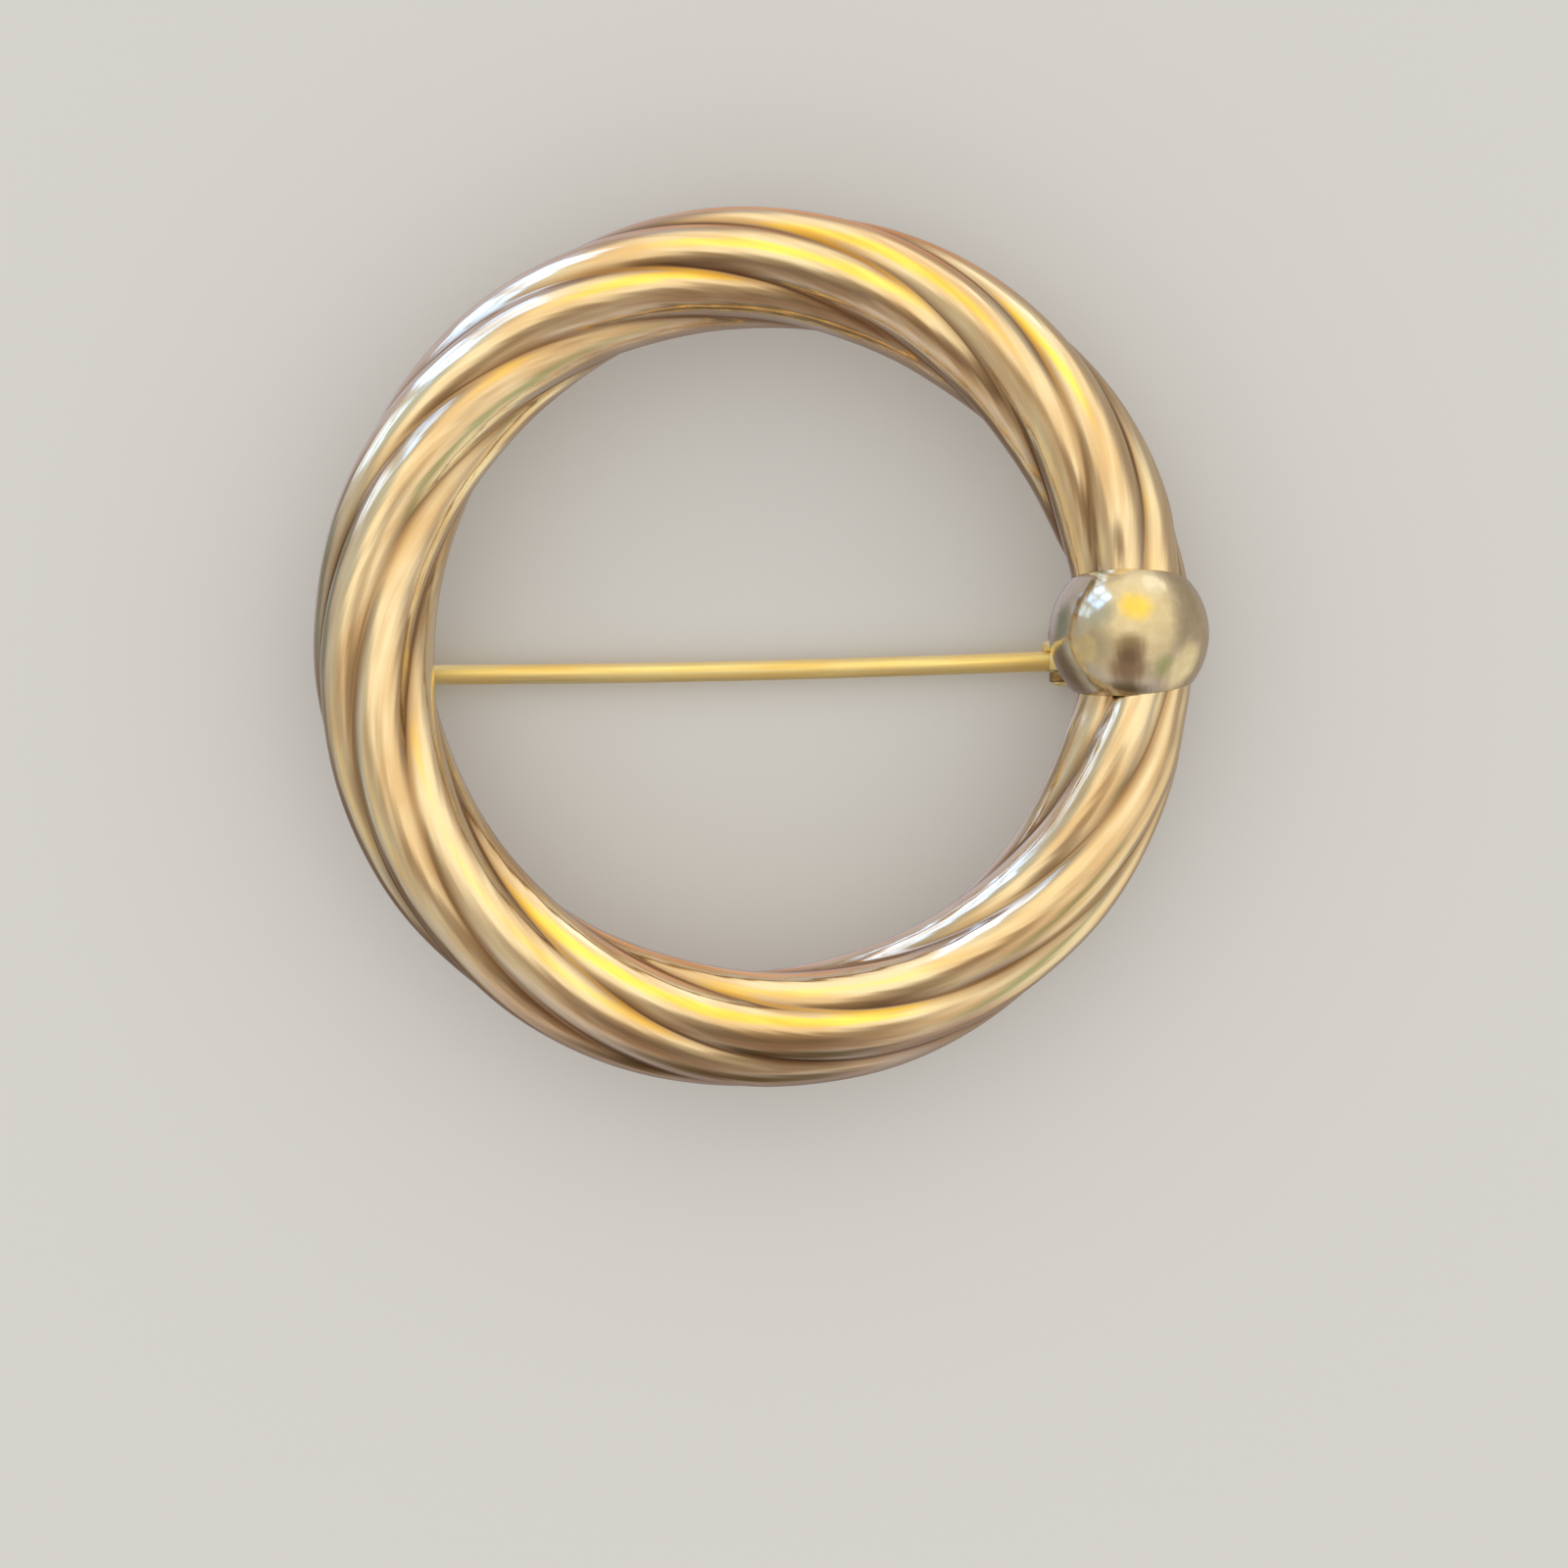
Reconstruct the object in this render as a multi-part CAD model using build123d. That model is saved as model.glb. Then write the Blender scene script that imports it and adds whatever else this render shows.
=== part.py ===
from build123d import *
import math
import os

# Circle pin brooch, lying on its back findings with its face up. Millimetres, +Z up.
# +X points from the ring's centre towards the ball, and the pin stem lies along X behind the ring.
# The origin is under the middle of the part, at the level that it rests on.

# Ring: a tube with rounded flutes, twisted along its length and bent to a circle.
ring_od = 35.0  # over the flutes' crests
tube_crest_r = 2.42  # from the tube's centre line to a crest
flute_depth = 0.33  # from a crest down to a groove
flutes = 6
tube_wall = 0.35
twist_deg = -593.0  # about the centre line over one full turn of the ring
groove_start_deg = 35.7  # one groove at the ball, from the outward direction towards the face
join_gap = 0.3  # between the tube's two ends, hidden in the ball
section_step_deg = 4.0

# The real twist is a little uneven. Columns: share of the way round from the ball, share of the twist.
TWIST = [
    (0.0, 0.0),
    (0.0215, 0.0275),
    (0.1465, 0.1816),
    (0.2715, 0.3087),
    (0.3965, 0.4369),
    (0.5215, 0.5561),
    (0.6465, 0.6677),
    (0.7715, 0.7904),
    (0.8965, 0.9054),
    (0.9715, 0.9740),
    (1.0, 1.0),
]

# Ball: hollow, bored for the tube, which narrows to a neck inside it.
ball_over = 0.73  # the ball stands out past the tube's crests by this much
ball_deg = 0.85  # round the ring from +X
ball_inset = 0.28  # the ball's centre lies this much inside the tube's centre line
ball_raise = 0.45  # and this much nearer the face
ball_wall = 0.4
ball_gap = 0.05  # between the bore and the tube's neck
neck_depth = 0.12  # the neck's crests lie this much below the tube's crests
neck_past = 0.1  # the neck goes on past the ball's mouth
neck_run = 1.8  # from the neck up to the full tube

# Pin stem, with a rolled eye at the hinge and a sharpened point behind the ring.
stem_d = 0.8
stem_y = -0.66  # the stem's centre line, beside the ring's centre
stem_height = 0.8  # the stem's centre line, above the level that the brooch rests on
stem_beyond = 1.7  # the point passes the tube's centre line by this much
point_len = 4.2
point_d = 0.16
eye_r = 0.65
eye_beyond = 0.41  # the eye is rolled past the wire's side by this much, towards +Y
shoulder_len = 1.15  # the wire swells towards the eye over this length
shoulder_swell = 0.03
back_gap = 0.8  # between the stem and the crests on the ring's back

# Hinge: two ears on a base that is soldered under the ball, with a rivet through ears and eye.
ear_r = 0.5
ear_t = 0.4
eye_side_gap = 0.05  # on each side of the eye, between the ears
eye_end_gap = 0.3  # between the eye's rim and the base
hinge_from_ball = 2.37  # from the ball's centre back to the rivet
base_past_ball = 1.0  # the base goes on past the ball's centre
rivet_d = 0.5
rivet_run_gap = 0.04  # between the rivet and the eye
rivet_seat_gap = 0.015  # between the rivet and the ears
rivet_head_d = 0.85
rivet_head_t = 0.16

# Catch: a horseshoe of flat strip, open downwards, on a pad that is soldered to the ring's back.
catch_gap = 0.13  # between the stem and the inside of the horseshoe
catch_strip_t = 0.55
catch_w = 1.8  # along the stem
pad_w = 1.7  # across the stem
solder_depth = 0.1  # how far the pad and the base reach into the metal they are soldered to

# Places that follow from the sizes.
ring_r = ring_od / 2 - tube_crest_r
neck_r = tube_crest_r - neck_depth
bore_r = neck_r + ball_gap
ball_r = tube_crest_r + ball_over
ball_centre_r = ring_r - ball_inset
ball_x = ball_centre_r * math.cos(math.radians(ball_deg))
ball_y = ball_centre_r * math.sin(math.radians(ball_deg))
stem_z = stem_height
tube_z = stem_z + stem_d / 2 + back_gap + tube_crest_r
ball_z = tube_z + ball_raise
hinge_x = ball_x - hinge_from_ball
tip_x = -ring_r - stem_beyond
middle_x = (ball_x + ball_r - ring_od / 2) / 2


def mouth_angle(across_deg):
    """Ring angle from the ball's centre to its mouth, on one line of the bore round the ring.

    The line keeps its distances from the ring's axis and from the table, so the point of it on
    the ball's surface follows from the cosine rule at the ring's centre.
    """
    out = ring_r + bore_r * math.cos(math.radians(across_deg))
    rise = bore_r * math.sin(math.radians(across_deg)) - ball_raise
    flat = ball_r**2 - rise**2
    return math.acos((out**2 + ball_centre_r**2 - flat) / (2 * out * ball_centre_r))


mouth_length = ring_r * max(mouth_angle(a) for a in range(0, 360, 3))


def moved(shape):
    """Moves a piece from the ring's centre to the origin under the middle of the part."""
    return Pos(-middle_x, 0, 0) * shape


def twist_at(share):
    """Share of the twist at a share of the way round: a smooth curve through the table."""
    rows = TWIST
    i = 0
    while i < len(rows) - 2 and share > rows[i + 1][0]:
        i += 1
    x0, y0 = rows[i]
    x1, y1 = rows[i + 1]
    rise = (y1 - y0) / (x1 - x0)
    before = rows[max(i - 1, 0)]
    after = rows[min(i + 2, len(rows) - 1)]
    slope0 = (y1 - before[1]) / (x1 - before[0]) if i > 0 else rise
    slope1 = (after[1] - y0) / (after[0] - x0) if i + 2 < len(rows) else rise
    t = (share - x0) / (x1 - x0)
    h = x1 - x0
    return (
        (2 * t**3 - 3 * t**2 + 1) * y0
        + (t**3 - 2 * t**2 + t) * h * slope0
        + (3 * t**2 - 2 * t**3) * y1
        + (t**3 - t**2) * h * slope1
    )


def tube_point(ring_deg, across_deg, r):
    """A point at a distance r from the tube's centre line, at an angle from outward towards the face."""
    a = math.radians(ring_deg)
    b = math.radians(across_deg)
    out = ring_r + r * math.cos(b)
    return Vector(out * math.cos(a), out * math.sin(a), tube_z + r * math.sin(b))


def tube_section(ring_deg, crest, depth):
    """One section of the fluted tube: an arc over each lobe, from groove to groove."""
    share = (ring_deg - ball_deg) / 360
    start = groove_start_deg + twist_deg * twist_at(share)
    pitch = 360 / flutes
    arcs = []
    for k in range(flutes):
        a = start + k * pitch
        first = tube_point(ring_deg, a, crest - depth)
        top = tube_point(ring_deg, a + pitch / 2, crest)
        last = tube_point(ring_deg, a + pitch, crest - depth)
        arcs.append(ThreePointArc(first, top, last))
    return Wire(arcs)


def degrees_along(length):
    return math.degrees(length / ring_r)


def neck_share(length):
    """How much of the neck's narrowing the tube has at a length along it from the ball's centre."""
    run = min(max((length - mouth_length - neck_past) / neck_run, 0), 1)
    return (1 + math.cos(math.pi * run)) / 2


def section_places():
    """Evenly spaced ring angles from the ball, end to end of the tube."""
    end = degrees_along(join_gap / 2)
    count = math.ceil((360 - 2 * end) / section_step_deg)
    return [end + (360 - 2 * end) * i / count for i in range(count + 1)]


def fluted_loft(inward):
    """The tube's skin, moved inward by a wall, as one smooth loft round the ring."""
    sections = []
    for a in section_places():
        length = math.radians(min(a, 360 - a)) * ring_r
        crest = tube_crest_r - neck_depth * neck_share(length)
        depth = flute_depth * crest / tube_crest_r
        sections.append(tube_section(ball_deg + a, crest - inward, depth))
    return Solid.make_loft(sections)


def box_between(low, high):
    size = [b - a for a, b in zip(low, high)]
    middle = [(a + b) / 2 for a, b in zip(low, high)]
    return Pos(*middle) * Box(*size)


def rod_along_y(x, z, r, y0, y1):
    middle = Pos(x, (y0 + y1) / 2, z) * Rot(90, 0, 0)
    return middle * Cylinder(r, y1 - y0)


def rod_along_x(y, z, r, x0, x1):
    return Pos((x0 + x1) / 2, y, z) * Rot(0, 90, 0) * Cylinder(r, x1 - x0)


# Ring, hollow, with the catch soldered on its back opposite the ball.
tube = fluted_loft(0) - fluted_loft(tube_wall)
catch_in = stem_d / 2 + catch_gap
catch_out = catch_in + catch_strip_t
catch_x = (-ring_r - catch_w / 2, -ring_r + catch_w / 2)
horseshoe = rod_along_x(stem_y, stem_z, catch_out, *catch_x)
horseshoe += box_between(
    (catch_x[0], stem_y - catch_out, 0),
    (catch_x[1], stem_y + catch_out, stem_z),
)
pad = box_between(
    (catch_x[0], stem_y - pad_w / 2, stem_z),
    (catch_x[1], stem_y + pad_w / 2, tube_z),
)
pad -= Pos(0, 0, tube_z) * Torus(ring_r, tube_crest_r - flute_depth - solder_depth)
mouth = rod_along_x(stem_y, stem_z, catch_in, catch_x[0] - 1, catch_x[1] + 1)
mouth += box_between(
    (catch_x[0] - 1, stem_y - catch_in, -1),
    (catch_x[1] + 1, stem_y + catch_in, stem_z),
)
floor_cut = box_between((-ring_od, -ring_od, -ring_od), (ring_od, ring_od, 0))
catch = horseshoe + pad - mouth - floor_cut
ring_with_catch = tube + catch

# Ball, bored for the tube, with the hinge's base and ears soldered under it.
ball = Pos(ball_x, ball_y, ball_z) * Sphere(ball_r)
ball -= Pos(ball_x, ball_y, ball_z) * Sphere(ball_r - ball_wall)
bore = Pos(0, 0, tube_z) * Torus(ring_r, bore_r)
eye_y = (stem_y - stem_d / 2, stem_y + stem_d / 2 + eye_beyond)
slot_y = (eye_y[0] - eye_side_gap, eye_y[1] + eye_side_gap)
hinge_y = (slot_y[0] - ear_t, slot_y[1] + ear_t)
base_x = (hinge_x + eye_r + eye_end_gap, ball_x + base_past_ball)
ears = rod_along_y(hinge_x, stem_z, ear_r, *hinge_y)
ears += box_between(
    (hinge_x, hinge_y[0], stem_z - ear_r),
    (base_x[0], hinge_y[1], stem_z + ear_r),
)
ears -= box_between(
    (hinge_x - 2 * ear_r, slot_y[0], 0),
    (base_x[0], slot_y[1], 2 * stem_z + ear_r),
)
base = box_between((base_x[0], hinge_y[0], 0), (base_x[1], hinge_y[1], ball_z))
base -= Pos(ball_x, ball_y, ball_z) * Sphere(ball_r - solder_depth)
hinge = ears + base
hinge -= rod_along_y(hinge_x, stem_z, rivet_d / 2 + rivet_seat_gap, hinge_y[0] - 1, hinge_y[1] + 1)
ball_with_hinge = ball + hinge - bore

# Rivet with two low heads.
head_y = (hinge_y[0] - rivet_seat_gap, hinge_y[1] + rivet_seat_gap)
rivet_y = (head_y[0] - rivet_head_t, head_y[1] + rivet_head_t)
rivet = rod_along_y(hinge_x, stem_z, rivet_d / 2, *rivet_y)
rivet += rod_along_y(hinge_x, stem_z, rivet_head_d / 2, rivet_y[0], head_y[0])
rivet += rod_along_y(hinge_x, stem_z, rivet_head_d / 2, head_y[1], rivet_y[1])


def cone_along_x(y, z, x0, r0, x1, r1):
    """A cone from radius r0 at x0 to radius r1 at x1."""
    return Pos((x0 + x1) / 2, y, z) * Rot(0, 90, 0) * Cone(r0, r1, x1 - x0)


# Pin stem: eye, shoulder, wire and point.
wire_x = (tip_x + point_len, hinge_x - shoulder_len)
stem = rod_along_y(hinge_x, stem_z, eye_r, *eye_y)
stem += cone_along_x(stem_y, stem_z, wire_x[1], stem_d / 2, hinge_x, stem_d / 2 + shoulder_swell)
stem += rod_along_x(stem_y, stem_z, stem_d / 2, *wire_x)
stem += cone_along_x(stem_y, stem_z, tip_x, point_d / 2, wire_x[0], stem_d / 2)
stem -= rod_along_y(hinge_x, stem_z, rivet_d / 2 + rivet_run_gap, eye_y[0] - 1, eye_y[1] + 1)

pieces = {
    "twisted_ring_with_catch": ring_with_catch,
    "ball_with_hinge": ball_with_hinge,
    "hinge_rivet": rivet,
    "pin_stem": stem,
}

os.makedirs("parts", exist_ok=True)
for name, shape in pieces.items():
    placed = moved(shape)
    export_step(placed, f"parts/{name}.step")
    print(name, "solids", len(placed.solids()), "volume", round(placed.volume, 2))
print("ring centre line", round(ring_r, 3), "ball", round(2 * ball_r, 3))
print("tube centre height", round(tube_z, 3), "middle", round(middle_x, 3))
print("ball centre", round(ball_x - middle_x, 3), round(ball_y, 3), round(ball_z, 3))
print("hinge", round(hinge_x - middle_x, 3), stem_y, round(stem_z, 3))
print("wire", [round(x - middle_x, 3) for x in wire_x])
print("catch foot", round(-ring_r - middle_x, 3), round(stem_y - (catch_in + catch_out) / 2, 3))
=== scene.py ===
# %% [markdown]
# Circle pin brooch, a lesson in polished metal.
# The real object is a ring of fluted, twisted tube whose two ends meet inside a hollow ball. A wire
# pin stem crosses the hole behind the ring, from a riveted hinge under the ball to a plain catch.
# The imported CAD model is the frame: it says where every piece is, and the looks are built on it.

# %% Load the frame
import math

import bpy
import numpy as np
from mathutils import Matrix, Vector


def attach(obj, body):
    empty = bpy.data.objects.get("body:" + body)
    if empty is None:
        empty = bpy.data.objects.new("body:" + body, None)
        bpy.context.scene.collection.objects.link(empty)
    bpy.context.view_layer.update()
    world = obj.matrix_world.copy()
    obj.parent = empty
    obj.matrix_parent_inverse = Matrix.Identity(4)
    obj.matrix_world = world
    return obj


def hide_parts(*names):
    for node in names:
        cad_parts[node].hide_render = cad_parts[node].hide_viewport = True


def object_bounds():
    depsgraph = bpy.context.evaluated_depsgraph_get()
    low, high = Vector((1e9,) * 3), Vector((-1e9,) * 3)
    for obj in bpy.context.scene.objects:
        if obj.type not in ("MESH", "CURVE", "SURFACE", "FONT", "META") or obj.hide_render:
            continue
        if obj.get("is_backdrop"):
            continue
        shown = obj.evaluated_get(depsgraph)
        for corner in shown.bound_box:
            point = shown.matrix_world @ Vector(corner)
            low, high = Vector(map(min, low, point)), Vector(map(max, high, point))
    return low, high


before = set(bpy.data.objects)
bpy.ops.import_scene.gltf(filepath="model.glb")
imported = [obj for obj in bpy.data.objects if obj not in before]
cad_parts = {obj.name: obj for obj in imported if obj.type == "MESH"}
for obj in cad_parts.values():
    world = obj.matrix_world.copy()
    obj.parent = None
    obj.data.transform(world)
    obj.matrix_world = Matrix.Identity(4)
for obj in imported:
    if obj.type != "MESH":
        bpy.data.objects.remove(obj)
cad_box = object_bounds()
MM = 0.001

# %% [markdown]
# Every size below is one that a maker would measure on the brooch, in millimetres.
# They repeat the CAD's own sizes, so a surface worked out here lies on the CAD solid that it covers.

# %% Sizes in millimetres
RING_OD = 35.0
CREST_R = 2.42  # tube's centre line to a flute's crest
FLUTE_DEPTH = 0.33
FLUTES = 6
RING_R = RING_OD / 2 - CREST_R
TWIST_DEG = -593.0
GROOVE_START_DEG = 35.7
GROOVE_SOFT_DEG = 2.0  # a groove is rounded over about this much on each side
JOIN_GAP = 0.3
NECK_DEPTH = 0.12
NECK_PAST = 0.1
NECK_RUN = 1.8
BALL_R = 3.15
BALL_DEG = 0.85
BALL_INSET = 0.28  # the ball's centre lies inside the tube's centre line
BALL_RAISE = 0.45  # and nearer the face
BALL_WALL = 0.4
BALL_GAP = 0.05  # between the bore and the tube's neck
BORE_R = CREST_R - NECK_DEPTH + BALL_GAP
STEM_R = 0.4
STEM_Y = -0.66
STEM_Z = 0.8
BACK_GAP = 0.8  # between the stem and the crests on the ring's back
TUBE_Z = STEM_Z + STEM_R + BACK_GAP + CREST_R
BALL_Z = TUBE_Z + BALL_RAISE
BALL_OUT = RING_R - BALL_INSET
BALL_X = BALL_OUT * math.cos(math.radians(BALL_DEG))
BALL_Y = BALL_OUT * math.sin(math.radians(BALL_DEG))
MIDDLE_X = (BALL_X + BALL_R - RING_OD / 2) / 2
HINGE_FROM_BALL = 2.37
HINGE_X = BALL_X - HINGE_FROM_BALL - MIDDLE_X
STEM_BEYOND = 1.7  # the point passes the tube's centre line by this much
TIP_X = -RING_R - STEM_BEYOND - MIDDLE_X
print("ball radius", round(BALL_R, 3), "tube centre height", round(TUBE_Z, 3))

# %% [markdown]
# A surface here is a grid of points: two parameters run over it, and whole arrays hold x, y and z.
# Typing in faces by hand would be slow and a Python loop over vertices slower. One helper turns
# any grid into a mesh, gives each corner its place on the grid as a UV, and closes the ends.

# %% Grid to mesh
def signed_volume(points, faces):
    """Sum over triangles of the triple product of their corners, a sixth of it: above 0 if outward."""
    a, b, c = (points[faces[:, k]] for k in range(3))
    return float(np.einsum("ij,ij->i", a, np.cross(b, c)).sum() / 6)


def grid_object(name, grid, wrap_u=False, caps=False):
    """A mesh from a (rows, columns, 3) grid in mm. Columns always close on themselves, rows if wrap_u.
    With caps, a fan from a middle point closes each end row."""
    rows, cols = grid.shape[:2]
    last = rows if wrap_u else rows - 1
    i, j = np.meshgrid(np.arange(last), np.arange(cols), indexing="ij")
    i2, j2 = (i + 1) % rows, (j + 1) % cols
    quads = np.stack([i * cols + j, i2 * cols + j, i2 * cols + j2, i * cols + j2], -1).reshape(-1, 4)
    u0, v0 = i / last, j / cols
    u1, v1 = (i + 1) / last, (j + 1) / cols
    corners = ((u0, v0), (u1, v0), (u1, v1), (u0, v1))
    uv = np.stack([np.stack(p, -1) for p in corners], 2).reshape(-1, 4, 2)
    points = grid.reshape(-1, 3)
    fans, fan_uv = np.zeros((0, 3), int), np.zeros((0, 3, 2))
    if caps:
        points = np.vstack([points, grid[0].mean(0), grid[-1].mean(0)])
        j = np.arange(cols)
        j2 = (j + 1) % cols
        first, end = np.full(cols, rows * cols), np.full(cols, rows * cols + 1)
        top = (rows - 1) * cols
        fans = np.vstack([np.stack([first, j, j2], -1), np.stack([end, top + j2, top + j], -1)])
        fan_u = np.repeat(np.repeat([[0.0], [1.0]], cols, 0)[:, :, None], 3, 1)
        fan_v = np.tile(np.stack([j, j, j + 1], -1) / cols, (2, 1))[..., None]
        fan_uv = np.concatenate([fan_u, fan_v], -1)
    tris = np.vstack([quads[:, [0, 1, 2]], quads[:, [0, 2, 3]], fans])
    if signed_volume(points, tris) < 0:
        quads, uv, fans, fan_uv = quads[:, ::-1], uv[:, ::-1], fans[:, ::-1], fan_uv[:, ::-1]
    mesh = bpy.data.meshes.new(name)
    mesh.from_pydata((points * MM).tolist(), [], quads.tolist() + fans.tolist())
    layer = mesh.uv_layers.new(name="along_and_around")
    layer.data.foreach_set("uv", np.concatenate([uv.reshape(-1, 2), fan_uv.reshape(-1, 2)]).ravel())
    mesh.polygons.foreach_set("use_smooth", np.ones(len(mesh.polygons), bool))
    piece = bpy.data.objects.new(name, mesh)
    bpy.context.scene.collection.objects.link(piece)
    print(name, "triangles", len(tris))
    return piece


def seat(piece, body, material, sharp_deg=None):
    """Puts a finished piece on its CAD body and gives it its metal."""
    if sharp_deg is not None:
        piece.data.set_sharp_from_angle(angle=math.radians(sharp_deg))
    piece.data.materials.append(material)
    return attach(piece, body)


# %% [markdown]
# The materials come from one metal: brass with a thin plating of pale gold, polished.
# A metal's colour is the colour of what it mirrors, tinted, so base colour is only half of it:
# the fine drawn lines, the room and a darker brown in the grooves, partly tarnish and partly
# painted shade, decide the rest.

# %% Colour and node helpers
def linear(hex_colour):
    """sRGB hex to linear: below 0.04045 divided by 12.92, else ((c + 0.055) / 1.055) to the
    power 2.4."""
    c = np.array([int(hex_colour[k : k + 2], 16) for k in (1, 3, 5)]) / 255
    out = np.where(c <= 0.04045, c / 12.92, ((c + 0.055) / 1.055) ** 2.4)
    return (*out.tolist(), 1.0)


def add_node(tree, kind, inputs=None, **settings):
    """Adds one node, sets its properties, then its inputs: a socket is linked, a value is set."""
    node = tree.nodes.new(kind)
    for key, value in settings.items():
        setattr(node, key, value)
    for key, value in (inputs or {}).items():
        if isinstance(value, bpy.types.NodeSocket):
            tree.links.new(value, node.inputs[key])
        else:
            node.inputs[key].default_value = value
    return node


def new_metal(name):
    """A material with an empty tree and its output."""
    metal = bpy.data.materials.new(name)
    metal.use_nodes = True
    metal.node_tree.nodes.clear()
    return metal, add_node(metal.node_tree, "ShaderNodeOutputMaterial")


# %% [markdown]
# One function builds every finish, from three noises: fine polishing lines, soft waves under them
# and clouds of tone. An image texture could hold them too, but noise has no seam and no edge.
# Each finish measures its surface in millimetres. On the tube, ball and wire, the UV map gives the
# place along and around; the small findings read Object coordinates.
# Real polishing lines are about 0.02 mm wide, too fine for any render, so these are drawn six to
# fifteen times as wide.

# %% A plated metal
WAVES_MM, CLOUDS_MM = (7, 0.8), (5, 1.3)  # one wave or cloud, along and around the piece
FINDING_WAVES_MM, FINDING_CLOUDS_MM = 0.9, 1.5  # the same on a finding, in every direction
LINE_SHARE = 0.5  # how much the lines count beside the clouds in the tone
TONE_FROM, TONE_TO = 0.6, 0.9  # both noises lie near 0.5, so their sum lies near 0.75
LINE_FROM, LINE_TO = 0.3, 0.7
SHEEN_LOW, SHEEN_HIGH = 0.75, 1.3  # shares of the roughness that the lines give it


def plated_brass(
    name, pale, deep, rough, line_mm, surface_mm=None, groove_tarnish_and_shade=None, relief_mm=0.003, wave_mm=0.0
):
    """Polished plated brass. line_mm is a scratch's length and width, surface_mm the piece's size
    along and around. The groove colour, which the attribute groove brings in, is partly tarnish and
    partly painted shade that darkens the grooves. relief_mm is the depth of the scratches and wave_mm
    that of the wider, softer waves under them."""
    metal, output = new_metal(name)
    tree = metal.node_tree
    if surface_mm:
        at = add_node(tree, "ShaderNodeUVMap", uv_map="along_and_around").outputs["UV"]
        size = (*surface_mm, 1)
        cells = {"lines": (*line_mm, 1), "waves": (*WAVES_MM, 1), "clouds": (*CLOUDS_MM, 1)}
    else:
        at = add_node(tree, "ShaderNodeTexCoord").outputs["Object"]
        size = (1 / MM,) * 3
        cells = {"lines": line_mm[1], "waves": FINDING_WAVES_MM, "clouds": FINDING_CLOUDS_MM}
        cells = {kind: (cell,) * 3 for kind, cell in cells.items()}
    noise = {}
    for kind, cell in cells.items():
        scale = tuple(s / c for s, c in zip(size, cell))
        place = add_node(tree, "ShaderNodeMapping", {"Vector": at, "Scale": scale})
        noise[kind] = add_node(tree, "ShaderNodeTexNoise", {
            "Vector": place.outputs["Vector"], "Scale": 1.0, "Detail": 2.0, "Roughness": 0.55,
        }).outputs["Fac"]
    streaky = add_node(tree, "ShaderNodeMath", {
        0: noise["lines"], 1: LINE_SHARE, 2: noise["clouds"],
    }, operation="MULTIPLY_ADD").outputs["Value"]
    tone = add_node(tree, "ShaderNodeMapRange", {
        "Value": streaky, "From Min": TONE_FROM, "From Max": TONE_TO,
    })
    gold = add_node(tree, "ShaderNodeMix", {
        0: tone.outputs["Result"], 6: linear(pale), 7: linear(deep),
    }, data_type="RGBA")
    colour = gold.outputs[2]
    # In the grooves the colour turns darker and browner: partly tarnish, partly painted shade.
    if groove_tarnish_and_shade:
        groove = add_node(tree, "ShaderNodeAttribute", attribute_name="groove")
        tarnished_and_shaded_grooves = add_node(tree, "ShaderNodeMix", {
            0: groove.outputs["Fac"], 6: colour, 7: linear(groove_tarnish_and_shade),
        }, data_type="RGBA")
        colour = tarnished_and_shaded_grooves.outputs[2]
    sheen = add_node(tree, "ShaderNodeMapRange", {
        "Value": noise["lines"], "From Min": LINE_FROM, "From Max": LINE_TO,
        "To Min": rough * SHEEN_LOW, "To Max": rough * SHEEN_HIGH,
    })
    waves = add_node(tree, "ShaderNodeBump", {"Height": noise["waves"], "Distance": wave_mm * MM})
    scratches = add_node(tree, "ShaderNodeBump", {
        "Height": noise["lines"], "Distance": relief_mm * MM, "Normal": waves.outputs["Normal"],
    })
    shader = add_node(tree, "ShaderNodeBsdfPrincipled", {
        "Base Color": colour, "Metallic": 1.0, "Roughness": sheen.outputs["Result"],
        "Normal": scratches.outputs["Normal"],
    })
    tree.links.new(shader.outputs["BSDF"], output.inputs["Surface"])
    return metal


# %% [markdown]
# Four finishes. The tube was polished along its length by hand, so its scratches run with the
# flutes and draw each light out into a silky streak. The ball was spun and buffed in all
# directions, so it has a soft mottle in place of lines and mirrors the room most plainly. The wire
# is satin, as it comes from the drawing die, and glows evenly. The findings behind are tumbled
# stampings, duller and browner, and darker still as painted shade for their place under the ball
# and behind the ring, so the eye passes over them.

# %% Tube, ball, wire and findings
SKIN_R = 2.3  # the fluted skin's mean distance from the tube's centre line
TUBE_LENGTH, TUBE_GIRTH = 2 * math.pi * RING_R, 2 * math.pi * SKIN_R
BALL_ROUND, BALL_GIRTH = 18, 2 * math.pi * BALL_R  # once round a meridian's outer and inner skin
WIRE_LENGTH, WIRE_GIRTH = 27, 2 * math.pi * STEM_R
# The tube's brown in its grooves is partly tarnish and partly painted shade.
gilt_tube = plated_brass(
    "gold_plated_drawn_brass_tube", pale="#F6E8C6", deep="#E2C69C", rough=0.15, line_mm=(7, 0.3),
    surface_mm=(TUBE_LENGTH, TUBE_GIRTH), groove_tarnish_and_shade="#8E6842", wave_mm=0.06,
)
gilt_ball = plated_brass(
    "gold_plated_spun_brass_ball", pale="#E0D4B5", deep="#D2C5A3", rough=0.15, line_mm=(0.9, 0.6),
    surface_mm=(BALL_ROUND, BALL_GIRTH), relief_mm=0.004, wave_mm=0.02,
)
gilt_wire = plated_brass(
    "gold_plated_drawn_brass_wire", pale="#FFF4BE", deep="#FFE8A0", rough=0.56, line_mm=(5, 0.12),
    surface_mm=(WIRE_LENGTH, WIRE_GIRTH),
)
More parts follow.
